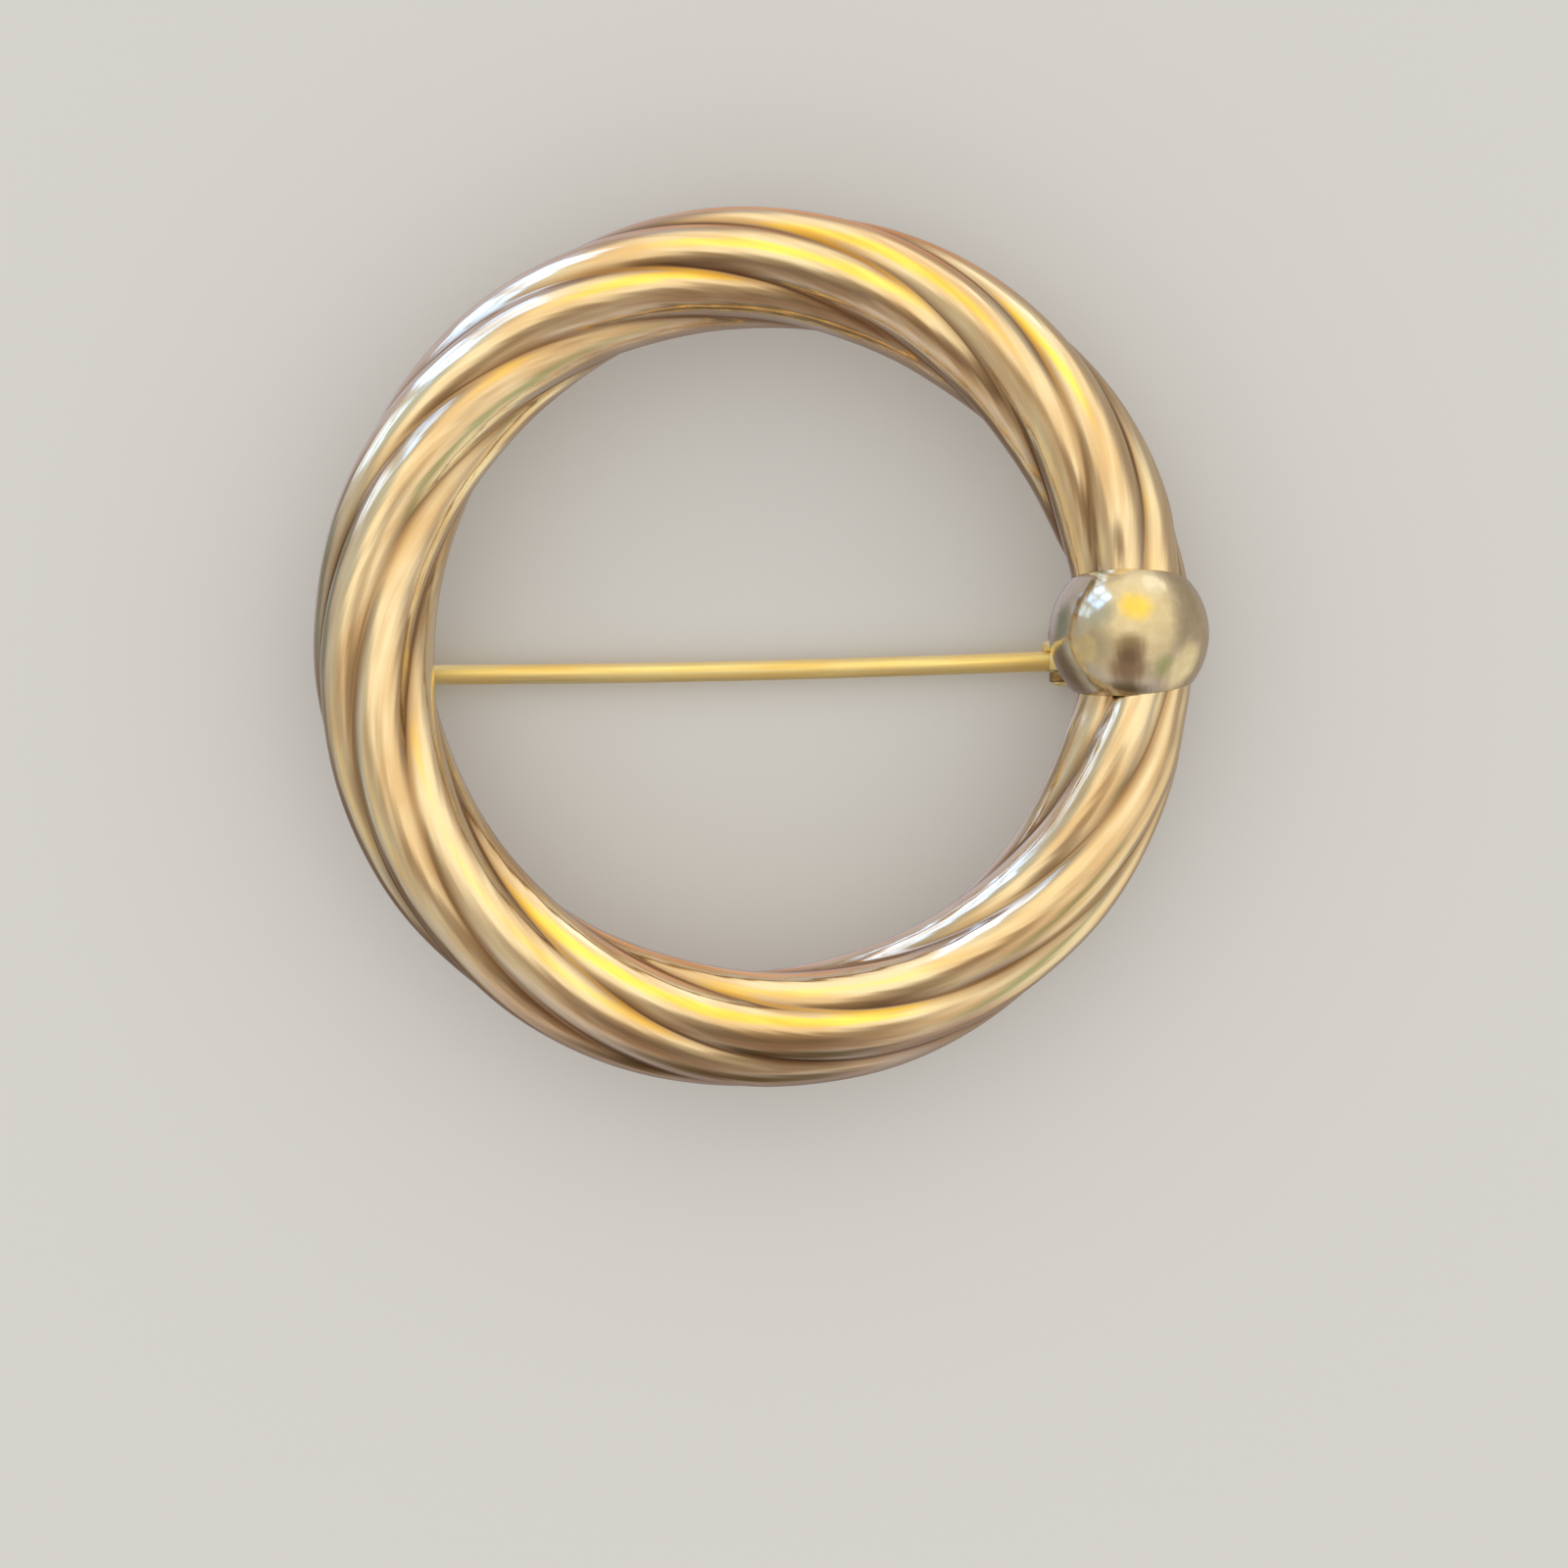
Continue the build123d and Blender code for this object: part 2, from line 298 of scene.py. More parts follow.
# Darker and browner than the tube: partly dull tumbled brass, partly painted shade where the findings
# sit under the ball and behind the ring.
findings_brass_with_painted_shade = plated_brass(
    "tumbled_brass_with_painted_shade", pale="#B89C6C", deep="#94784C", rough=0.4, line_mm=(0.4, 0.4),
)
print("metals", [m.name for m in bpy.data.materials])

# %% [markdown]
# The ring is one tube with six rounded flutes. It could be six cables twisted together, but the
# photograph's grooves are shallow and its lobes wide, so it is one fluted skin, twisted and bent.
# Round the tube, each lobe is an arc from groove to groove; along it, the arcs turn by a table.

# %% Twist and flutes
# The real twist is a little uneven: share of the way round from the ball, share of the twist.
TWIST = np.array([
    (0.0, 0.0), (0.0215, 0.0275), (0.1465, 0.1816), (0.2715, 0.3087), (0.3965, 0.4369),
    (0.5215, 0.5561), (0.6465, 0.6677), (0.7715, 0.7904), (0.8965, 0.9054), (0.9715, 0.9740),
    (1.0, 1.0),
])


def twist_at(share):
    """Cubic through the table's points, whose slopes are those of the lines between their
    neighbours."""
    x, y = TWIST.T
    slope = np.gradient(y, x)
    slope[1:-1] = (y[2:] - y[:-2]) / (x[2:] - x[:-2])
    i = np.clip(np.searchsorted(x, share, side="left") - 1, 0, len(x) - 2)
    h = x[i + 1] - x[i]
    t = (share - x[i]) / h
    return ((2 * t**3 - 3 * t**2 + 1) * y[i] + (t**3 - 2 * t**2 + t) * h * slope[i]
            + (3 * t**2 - 2 * t**3) * y[i + 1] + (t**3 - t**2) * h * slope[i + 1])


def flute_radius(turn_deg, crest, depth):
    """Radius of a lobed section: on each lobe, a circle through both grooves and the crest, its centre
    on the crest's line. The distance from the groove is softened to the root of its square plus a
    small square, which rounds the groove's bottom."""
    half = 180 / FLUTES
    from_groove = half - np.abs(turn_deg % (2 * half) - half)
    from_groove = np.sqrt(from_groove**2 + GROOVE_SOFT_DEG**2)
    groove = crest - depth
    centre = (crest**2 - groove**2) / (2 * (crest - groove * math.cos(math.radians(half))))
    off = np.radians(half - from_groove)
    return centre * np.cos(off) + np.sqrt((crest - centre) ** 2 - (centre * np.sin(off)) ** 2)


def mouth_length():
    """How far along the tube the ball's mouth reaches. Cosine rule at the ring's centre, for each line
    of the bore round the tube, and the furthest counts."""
    across = np.radians(np.arange(0, 360, 3))
    out = RING_R + BORE_R * np.cos(across)
    flat = BALL_R**2 - (BORE_R * np.sin(across) - BALL_RAISE) ** 2
    return RING_R * float(np.arccos((out**2 + BALL_OUT**2 - flat) / (2 * out * BALL_OUT)).max())


def neck_share(length):
    """1 inside the ball, falling along half a cosine wave to 0 outside it."""
    return (1 + np.cos(np.pi * np.clip((length - mouth_length() - NECK_PAST) / NECK_RUN, 0, 1))) / 2


print("turns of twist", round(TWIST_DEG / 360, 2), "ball's mouth at", round(mouth_length(), 2), "mm")

# %% [markdown]
# A formed tube isn't perfect: its lobes swell and its grooves wander by hundredths of a millimetre.
# A few slow waves with seeded phases give that, and a few closer ones break the streaks of light
# that a perfect tube would draw as if by ruler. A noise texture would do too, but as real shape
# the waves are in the mesh itself. Each point keeps its depth in the groove as an attribute
# for a duller, browner colour there: partly the tarnish that stays where the polishing mop doesn't
# reach, and partly painted shade in the grooves.

# %% The twisted tube
WANDER_DEG = 0.9  # how far the grooves wander round the tube
SWELL_MM, RIPPLE_MM = 0.012, 0.013
SLOW, CLOSE = (2, 9), (9, 20)  # waves on the way round the ring: at least this many, and under that
TARNISH_AND_SHADE_SHARE = 0.55  # the darker groove colour, tarnish and painted shade, covers this share of a groove's depth


def slow_waves(rng, share, turn, size, counts=SLOW):
    """Size times the sum of six sines over the root of six. Each sine's angle is a full turn times
    a whole count along the ring and another round the tube, plus a phase of its own."""
    total = np.zeros(np.broadcast(share, turn).shape)
    for _ in range(6):
        along, around, phase = rng.integers(*counts), rng.integers(0, 4), rng.uniform(0, 2 * np.pi)
        total = total + np.sin(2 * np.pi * (along * share + around * turn) + phase)
    return size * total / 6**0.5


def tube_grid(rows=340, cols=288):
    """Ring angle runs along the rows and the turn round the tube along the columns. A point is the
    centre line's circle plus the lobed radius, outward by its cosine and up by its sine."""
    rng = np.random.default_rng(17)
    start = JOIN_GAP / 2 / TUBE_LENGTH
    share = np.linspace(start, 1 - start, rows)[:, None]
    turn = np.arange(cols)[None, :] / cols
    length = np.minimum(share, 1 - share) * TUBE_LENGTH
    crest = CREST_R - NECK_DEPTH * neck_share(length)
    wander = slow_waves(rng, share, turn * 0, WANDER_DEG)
    radius = flute_radius(360 * turn + wander, crest, FLUTE_DEPTH * crest / CREST_R)
    uneven = slow_waves(rng, share, turn, SWELL_MM)
    uneven = uneven + slow_waves(rng, share, turn, RIPPLE_MM, CLOSE)
    radius = radius + uneven * (1 - neck_share(length))
    across = np.radians(GROOVE_START_DEG + TWIST_DEG * twist_at(share) + 360 * turn)
    ring = np.radians(BALL_DEG + 360 * share)
    out = RING_R + radius * np.cos(across)
    x, y = out * np.cos(ring) - MIDDLE_X, out * np.sin(ring)
    # painted shade and tarnish in the grooves: 1 at a groove's bottom, 0 above that share of its depth
    groove = np.clip(1 - (radius - crest + FLUTE_DEPTH) / (TARNISH_AND_SHADE_SHARE * FLUTE_DEPTH), 0, 1)
    return np.stack([x, y, TUBE_Z + radius * np.sin(across)], -1), groove


points, groove = tube_grid()
tube = grid_object("twisted_tube", points, caps=True)
shade = tube.data.attributes.new("groove", "FLOAT", "POINT")
shade.data.foreach_set("value", np.append(groove.ravel(), (0, 0)).astype(np.float32))
seat(tube, "brooch", gilt_tube)
print("tube crest to crest", round(2 * CREST_R, 2), "mm, over", round(TUBE_LENGTH, 1), "mm")

# %% [markdown]
# The ball is a hollow shell with a mouth at each side, and it sits a little nearer the face than
# the tube, so each mouth's edge is a curve. A sphere with a cylinder cut out of it would leave a
# ragged edge there. Instead each meridian is a closed outline: the outer arc between the two
# mouths, a rounded lip, the inner arc back, and the other lip. All meridians are one grid.

# %% The ball
MOUTH_AT = 2.2  # a mouth's mean distance from the ball's centre, along the tube


def mouth_radius(turn, offset_out, offset_up, bore):
    """Distance from the ball's axis to a bore that runs beside it, in each direction round the axis:
    the ray's part along the offset, plus the root of the bore's square less the rest."""
    along = offset_out * np.cos(turn) + offset_up * np.sin(turn)
    return along + np.sqrt(along**2 - offset_out**2 - offset_up**2 + bore**2)


def ball_grid(cols=160, outer_rows=110, inner_rows=30, lip=0.07, lip_run=0.6):
    """Turn round the tube's line along the columns and the closed outline along the rows. A point
    of a skin is its radius times the sine of a latitude along that line and the cosine out from
    it, up to the latitude where the mouth begins. A lip is a quarter of an ellipse."""
    turn = np.linspace(0, 2 * np.pi, cols, endpoint=False)[None, :]
    bend = RING_R * (1 - math.cos(MOUTH_AT / RING_R))
    mouth = mouth_radius(turn, BALL_INSET - bend, -BALL_RAISE, BORE_R)
    reach = np.arccos((mouth + lip) / BALL_R)
    inner_r = BALL_R - BALL_WALL
    # where the mouth is wider than the inner skin, that skin narrows to a thin band
    back = np.arccos(np.minimum(mouth / inner_r, 0.999))
    lat = np.linspace(-1, 1, outer_rows)[:, None] * reach
    outer = np.stack([BALL_R * np.sin(lat), BALL_R * np.cos(lat)], -1)
    curve = np.linspace(0, np.pi / 2, 6)[1:, None]
    lip_along = BALL_R * np.sin(reach) - lip_run * lip * (1 - np.cos(curve))
    lip_out = mouth + lip * (1 - np.sin(curve))
    lips = np.stack([lip_along + 0 * lip_out, lip_out + 0 * lip_along], -1)
    lat = np.linspace(1, -1, inner_rows)[:, None] * back
    inner = np.stack([inner_r * np.sin(lat), inner_r * np.cos(lat)], -1)
    outline = np.concatenate([outer, lips, inner, lips[::-1] * (-1, 1)])
    heading = math.radians(BALL_DEG)
    out = np.array([math.cos(heading), math.sin(heading), 0])
    tangent = np.array([-math.sin(heading), math.cos(heading), 0])
    spoke = np.cos(turn)[..., None] * out + np.sin(turn)[..., None] * np.array([0, 0, 1.0])
    centre = np.array([BALL_X - MIDDLE_X, BALL_Y, BALL_Z])
    return centre + outline[..., :1] * tangent + outline[..., 1:] * spoke, centre


# %% [markdown]
# A thin ball that is worn doesn't stay quite round. Three shallow dents bend what it mirrors, as
# the real one's do. Sculpting them by hand would do, but each is only a bell curve on the sphere.

# %% The ball's dents
# direction from the ball's centre, depth in mm, width in radians
DENTS = [
    ((-0.62, -0.16, 0.77), 0.050, 0.13),
    ((0.78, 0.00, 0.62), 0.045, 0.15),
    ((0.15, 0.55, 0.8), 0.03, 0.25),
]
SKIN_SHARE = 0.985  # points farther out than this share of the radius are outer skin


def dented(grid, centre):
    """Pushes the outer skin in by each dent's depth times a bell curve of the angle from its middle."""
    way = grid - centre
    size = np.linalg.norm(way, axis=-1, keepdims=True)
    push = np.zeros(size.shape)
    for to, depth, width in DENTS:
        to = np.array(to) / np.linalg.norm(to)
        angle = np.arccos(np.clip((way / size) @ to, -1, 1))[..., None]
        push += depth * np.exp(-((angle / width) ** 2))
    return grid - way / size * push * (size > BALL_R * SKIN_SHARE)


ball = grid_object("hollow_ball", dented(*ball_grid()), wrap_u=True)
seat(ball, "brooch", gilt_ball)

# %% [markdown]
# The findings, which are the hinge and the catch, are stamped from flat brass, so each is an
# outline with thickness. A stack of copies of the outline, drawn in a little at both ends, makes a
# slab with eased edges, as a tumbled stamping has.

# %% Stamped findings
SHARPEST = 0.4  # least divisor at a corner: 2 on a straight run, 0 where an edge turns back


def inset(outline, amount):
    """Moves each outline point inwards along the mean of its two edges' normals, lengthened so that
    both edges move by the amount, except that a very sharp corner moves less."""
    normals = []
    for edge in (np.roll(outline, -1, 0) - outline, outline - np.roll(outline, 1, 0)):
        length = np.linalg.norm(edge, axis=1, keepdims=True)
        normals.append(np.stack([-edge[:, 1], edge[:, 0]], -1) / length)
    mean = normals[0] + normals[1]
    mean /= np.maximum(1 + (normals[0] * normals[1]).sum(1, keepdims=True), SHARPEST)
    return outline + amount * mean


def eased_slab(name, outline, low, high, ease, across):
    """Outline copies from low to high: within ease of an end, drawn in by a quarter circle.
    across is "y" for an (x, z) outline and "x" for a (y, z) one. The outline runs anticlockwise."""
    arc = np.linspace(0, np.pi / 2, 5)
    steps = [(ease * (1 - math.sin(a)), low + ease * (1 - math.cos(a))) for a in arc]
    steps += [(d, low + high - at) for d, at in reversed(steps)]
    rings = []
    for draw, at in steps:
        flat = inset(outline, draw)
        third = np.full(len(flat), at)
        order = (flat[:, 0], third, flat[:, 1]) if across == "y" else (third, flat[:, 0], flat[:, 1])
        rings.append(np.stack(order, -1))
    return slab_mesh(name, np.array(rings))


def slab_mesh(name, rings):
    """Walls as a grid, and each end as one flat face, so that a hollow outline closes cleanly."""
    rows, cols = rings.shape[:2]
    i, j = np.meshgrid(np.arange(rows - 1), np.arange(cols), indexing="ij")
    j2 = (j + 1) % cols
    low, high = i * cols, (i + 1) * cols
    quads = np.stack([low + j, high + j, high + j2, low + j2], -1).reshape(-1, 4)
    ends = [list(range(cols)), list(range(rows * cols - 1, (rows - 1) * cols - 1, -1))]
    points = rings.reshape(-1, 3)
    mesh = bpy.data.meshes.new(name)
    mesh.from_pydata((points * MM).tolist(), [], quads.tolist() + ends)
    walls = signed_volume(points, np.vstack([quads[:, [0, 1, 2]], quads[:, [0, 2, 3]]]))
    if walls + end_volume(points, ends) < 0:
        mesh.flip_normals()
    mesh.polygons.foreach_set("use_smooth", np.ones(len(mesh.polygons), bool))
    piece = bpy.data.objects.new(name, mesh)
    bpy.context.scene.collection.objects.link(piece)
    print(name, "faces", len(mesh.polygons))
    return piece


def end_volume(points, ends):
    """Volume share of two flat ends, each split into a fan from its first corner."""
    total = 0.0
    for end in ends:
        e = np.array(end)
        total += signed_volume(points, np.stack([np.full(len(e) - 2, e[0]), e[1:-1], e[2:]], -1))
    return total


def arc_points(centre, radius, start_deg, end_deg, count):
    """Points on a circle's arc, anticlockwise when the end is the larger angle."""
    a = np.radians(np.linspace(start_deg, end_deg, count))
    return np.stack([centre[0] + radius * np.cos(a), centre[1] + radius * np.sin(a)], -1)


# %% [markdown]
# The hinge: two ears hold the rivet, and a base joins them under the ball. The ears are stamped
# bars with round noses. The base is a block whose walls rise until they meet the ball, as a
# soldered one does, so its top is worked out from the ball's own sphere.

# %% Hinge ears and base
EAR_R, EAR_T, EYE_R, EYE_BEYOND = 0.5, 0.4, 0.65, 0.41
EYE_SIDE_GAP, EYE_END_GAP, BASE_PAST_BALL = 0.05, 0.3, 1.0
EYE_LOW, EYE_HIGH = STEM_Y - STEM_R, STEM_Y + STEM_R + EYE_BEYOND
EAR_LOW, EAR_HIGH = EYE_LOW - EYE_SIDE_GAP - EAR_T, EYE_HIGH + EYE_SIDE_GAP + EAR_T
BASE_X = (HINGE_X + EYE_R + EYE_END_GAP, BALL_X + BASE_PAST_BALL - MIDDLE_X)
EAR_ROOT = 0.2  # an ear goes on into the base by this much
EAR_EASE, BASE_EASE, BASE_CORNER = 0.06, 0.08, 0.12  # roundings of the edges


def rounded_bar(x0, x1, y0, y1, corner, count=7):
    """A rectangle with quarter-round corners, anticlockwise."""
    left, right, near, far = x0 + corner, x1 - corner, y0 + corner, y1 - corner
    spots = (((right, near), -90), ((right, far), 0), ((left, far), 90), ((left, near), 180))
    return np.vstack([arc_points(c, corner, a, a + 90, count) for c, a in spots])


def block_to_ball(outline, low, ease, into=0.08, rows=12):
    """Copies of an outline stacked from low up to the ball. Height of each top point is that of the
    sphere there, plus a little, and the lowest copies are drawn in by a quarter circle."""
    dx, dy = outline[:, 0] - (BALL_X - MIDDLE_X), outline[:, 1] - BALL_Y
    top = BALL_Z - np.sqrt(BALL_R**2 - dx**2 - dy**2) + into
    rings = []
    for a in np.linspace(np.pi / 2, 0, 5):
        flat = inset(outline, ease * math.sin(a))
        rings.append(np.column_stack([flat, np.full(len(flat), low + ease * (1 - math.cos(a)))]))
    for share in np.linspace(0, 1, rows)[1:]:
        rings.append(np.column_stack([outline, (low + ease) * (1 - share) + top * share]))
    return np.array(rings)


ear_outline = np.vstack([
    arc_points((HINGE_X, STEM_Z), EAR_R, 90, 270, 40),
    [(BASE_X[0] + EAR_ROOT, STEM_Z - EAR_R), (BASE_X[0] + EAR_ROOT, STEM_Z + EAR_R)],
])
for side, low in (("upper", EAR_HIGH - EAR_T), ("lower", EAR_LOW)):
    ear = eased_slab(f"hinge_ear_{side}", ear_outline, low, low + EAR_T, EAR_EASE, "y")
    seat(ear, "brooch", findings_brass_with_painted_shade, 50)
base_outline = rounded_bar(*BASE_X, EAR_LOW, EAR_HIGH, BASE_CORNER)
base = grid_object("hinge_base", block_to_ball(base_outline, 0, BASE_EASE), caps=True)
seat(base, "brooch", findings_brass_with_painted_shade, 50)

# %% [markdown]
# The rivet is a pin with two domed heads, as a hammer leaves them. Blender's Screw or Spin could
# turn it from a profile, but the same few lines of numpy serve the rivet and the eye after it.

# %% Rivet
def turned(outline, centre, cols=64):
    """Turns an outline of (along Y, out from the axis) points round a Y axis through centre."""
    angle = np.linspace(0, 2 * np.pi, cols, endpoint=False)
    along, out = outline[:, None, 0], outline[:, None, 1]
    x, z = out * np.cos(angle), out * np.sin(angle)
    return np.array(centre) + np.stack([x, along + 0 * x, z], -1)


HEAD_T, HEAD_R, RIVET_R, SEAT_GAP = 0.16, 0.425, 0.25, 0.015
CAP_R = 0.01  # a tiny flat on a head's top, which the cap closes
half_long = (EAR_HIGH - EAR_LOW) / 2 + SEAT_GAP
dome = np.linspace(0, np.pi / 2, 9)[:-1]
head = np.stack([half_long + HEAD_T * np.sin(dome), HEAD_R * np.cos(dome)], -1)
half_rivet = np.vstack([(0.0, RIVET_R), (half_long, RIVET_R), head, (half_long + HEAD_T, CAP_R)])
rivet_outline = np.vstack([half_rivet[::-1] * (-1, 1), half_rivet[1:]])
middle_y = (EAR_HIGH + EAR_LOW) / 2
rivet = grid_object("domed_rivet", turned(rivet_outline, (HINGE_X, middle_y, STEM_Z)), caps=True)
seat(rivet, "brooch", gilt_wire, 40)

# %% [markdown]
# The eye is the stem's end, rolled round the rivet and past the wire's own side: that roll is the
# small knob that shows beside the ball. A wire swept along a spiral would cut into itself at such
# a tight turn, so the roll is turned from an outline that has one rounded bulge for each turn.

# %% Rolled eye
EYE_BORE, KNOB_R, BORE_EASE = 0.29, 0.78, 0.02
ROLL_REACH = 1.54  # radians, just short of a right angle, so that two turns share no point


def roll_outline(ends, radii, rounding=0.2, rows=24):
    """Bore line and rolled outside, closed. Each turn of the roll is half an ellipse: an angle's sine
    runs along it and its cosine outwards, which leaves a waist between turns, as round wire does."""
    angle = np.linspace(-ROLL_REACH, ROLL_REACH, rows)
    parts = []
    for low, high, radius in zip(ends[:-1], ends[1:], radii):
        along = (low + high) / 2 + np.sin(angle) * (high - low) / 2
        parts.append(np.stack([along, radius - rounding * (1 - np.cos(angle))], -1))
    outer = np.vstack(parts)
    return np.vstack([outer, (ends[-1] - BORE_EASE, EYE_BORE), (ends[0] + BORE_EASE, EYE_BORE)])


eye_outline = roll_outline((EYE_LOW, STEM_Y + STEM_R, EYE_HIGH), (EYE_R, KNOB_R))
eye = grid_object("stem_eye", turned(eye_outline, (HINGE_X, 0, STEM_Z), 72), wrap_u=True)
seat(eye, "pin", gilt_wire, 60)

# %% [markdown]
# The stem is straight wire with a slight bow, drawn down to a point. It could be a curve with a
# bevel, but a grid of circles along a line lets the radius fall smoothly into the point.

# %% Pin stem
POINT_LEN, POINT_R, POINT_CURVE, TIP_FLAT = 4.2, 0.08, 1.6, 0.02
BOW = -0.13  # sideways at the middle, as a stem that has been pinned for years has
SHOULDER_LEN, SWELL = 1.15, 0.03
INTO_EYE = 0.12  # the wire stops this short of the eye's bore


def stem_grid(rows=220, cols=40):
    """Circles along X from the point to the eye. What the radius lacks of the wire's falls with a
    power of the share that is left of the point, and the tip is rounded as a ball's end. The
    radius swells at the eye, and the centre line bows sideways by half a sine wave."""
    x0, x1 = TIP_X, HINGE_X - EYE_BORE - INTO_EYE
    x = x0 + (x1 - x0) * np.linspace(0, 1, rows)
    share = np.clip((x - x0) / POINT_LEN, 0, 1)
    radius = POINT_R + (STEM_R - POINT_R) * (1 - (1 - share) ** POINT_CURVE)
    radius = radius + SWELL * np.clip((x - HINGE_X) / SHOULDER_LEN + 1, 0, 1)
    tip = np.clip((x - x0) / POINT_R, 0, 1)
    radius = radius * np.sqrt(np.clip(1 - (1 - tip) ** 2, TIP_FLAT, 1))
    held = -RING_R - MIDDLE_X
    bow = BOW * np.sin(np.pi * np.clip((x - held) / (x1 - held), 0, 1))
    turn = np.linspace(0, 2 * np.pi, cols, endpoint=False)
    y = STEM_Y + bow[:, None] + radius[:, None] * np.cos(turn)
    z = STEM_Z + radius[:, None] * np.sin(turn)
    return np.stack([np.broadcast_to(x[:, None], y.shape), y, z], -1)


stem = grid_object("stem_wire", stem_grid(), caps=True)
seat(stem, "pin", gilt_wire)

# %% [markdown]
# The catch is hidden behind the ring, so it is finished plainly: a horseshoe of flat strip that
# opens downwards, on a pad that is soldered to the tube. Bending a strip with a modifier would
# thin it at the bend, so its outline is drawn from arcs and given its width as the ears are.

# %% Catch
CATCH_GAP, STRIP_T, HALF_WIDTH, CATCH_EASE = 0.13, 0.55, 0.9, 0.08
CATCH_IN = STEM_R + CATCH_GAP
CATCH_OUT = CATCH_IN + STRIP_T
CATCH_LOW, CATCH_HIGH = -RING_R - HALF_WIDTH - MIDDLE_X, -RING_R + HALF_WIDTH - MIDDLE_X
foot = 0.12  # rounding under the strip's two ends
horseshoe_outline = np.vstack([
    arc_points((STEM_Y, STEM_Z), CATCH_OUT, 0, 180, 40),
    arc_points((STEM_Y - CATCH_OUT + foot, foot), foot, 180, 270, 5),
    arc_points((STEM_Y - CATCH_IN - foot, foot), foot, 270, 360, 5),
    arc_points((STEM_Y, STEM_Z), CATCH_IN, 180, 0, 30),
    arc_points((STEM_Y + CATCH_IN + foot, foot), foot, 180, 270, 5),
    arc_points((STEM_Y + CATCH_OUT - foot, foot), foot, 270, 360, 5),
])
horseshoe = eased_slab(
    "catch_horseshoe", horseshoe_outline, CATCH_LOW, CATCH_HIGH, CATCH_EASE, "x",
)
seat(horseshoe, "brooch", findings_brass_with_painted_shade, 50)
PAD_HALF, PAD_CORNER, PAD_EASE = 0.85, 0.1, 0.05
PAD_BACK = 0.02  # the pad stays back from the strip's faces
INTO_STRIP, INTO_TUBE = 0.1, 1.75  # above the strip's inside, and below the tube's centre line
PAD_FOOT, PAD_TOP = STEM_Z + CATCH_IN + INTO_STRIP, TUBE_Z - INTO_TUBE
pad_outline = rounded_bar(STEM_Y - PAD_HALF, STEM_Y + PAD_HALF, PAD_FOOT, PAD_TOP, PAD_CORNER)
pad = eased_slab(
    "catch_pad", pad_outline, CATCH_LOW + PAD_BACK, CATCH_HIGH - PAD_BACK, PAD_EASE, "x",
)
seat(pad, "brooch", findings_brass_with_painted_shade, 50)

# %% [markdown]
# The finished surfaces stand for the CAD solids, which stay in the physics model. A solid that is
# soldered from several pieces is one CAD node, so each of its pieces names the same node.

# %% Stand for the CAD nodes
NODES = {
    "twisted_ring_with_catch": ("twisted_tube", "catch_horseshoe", "catch_pad"),
    "ball_with_hinge": ("hollow_ball", "hinge_ear_upper", "hinge_ear_lower", "hinge_base"),
    "hinge_rivet": ("domed_rivet",),
    "pin_stem": ("stem_wire", "stem_eye"),
}
for node, pieces in NODES.items():
    for piece in pieces:
        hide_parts(node)
    print(node, "is shown by", ", ".join(pieces))

# %% [markdown]
# A pale floor of matt card, a plain square that shows no texture. It catches the brooch's soft
# shadow but isn't mirrored in the metal, because a white floor would wash out the darker edges
# that make a tube look round.

# %% Floor
def flat_floor(half, height):
    """A square grid at one height."""
    u = np.linspace(-half, half, 3)
    x, y = np.meshgrid(u, u, indexing="ij")
    points = np.stack([x, y, np.full_like(x, height)], -1).reshape(-1, 3)
    i, j = np.meshgrid(np.arange(2), np.arange(2), indexing="ij")
    first = i * 3 + j
    quads = np.stack([first, first + 3, first + 4, first + 1], -1).reshape(-1, 4)
    mesh = bpy.data.meshes.new("pale_floor")
    mesh.from_pydata((points * MM).tolist(), [], quads.tolist())
    floor = bpy.data.objects.new("pale_floor", mesh)
    bpy.context.scene.collection.objects.link(floor)
    return floor


FLOOR_HALF, FLOOR_DROP = 900, 0.02  # the drop keeps the catch's feet from flickering in it
floor = flat_floor(FLOOR_HALF, -FLOOR_DROP)
floor.visible_glossy = False
paper = bpy.data.materials.new("matt_white_card")
paper.use_nodes = True
card = paper.node_tree.nodes["Principled BSDF"]
card.inputs["Base Color"].default_value = linear("#DAD8D4")
card.inputs["Roughness"].default_value = 0.9
floor.data.materials.append(paper)
floor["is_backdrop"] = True
print("floor side", 2 * FLOOR_HALF, "mm")

# %% [markdown]
# Polished metal has hardly a colour of its own: it shows the room, tinted. An image of a room could
# light it, but a few described lights keep the lesson whole. The room here is a soft wash by
# height, with soft-edged boards in it, each given by its direction and its size in degrees as seen
# from the brooch. The floor isn't polished, so it gets plain neutral light instead, through the
# light path's glossy flag.

# %% Room
def direction(azimuth, elevation):
    """Unit vector: cosine of elevation shared between x and y by azimuth, sine of elevation up."""
    a, e = math.radians(azimuth), math.radians(elevation)
    return (math.cos(e) * math.cos(a), math.cos(e) * math.sin(a), math.sin(e))


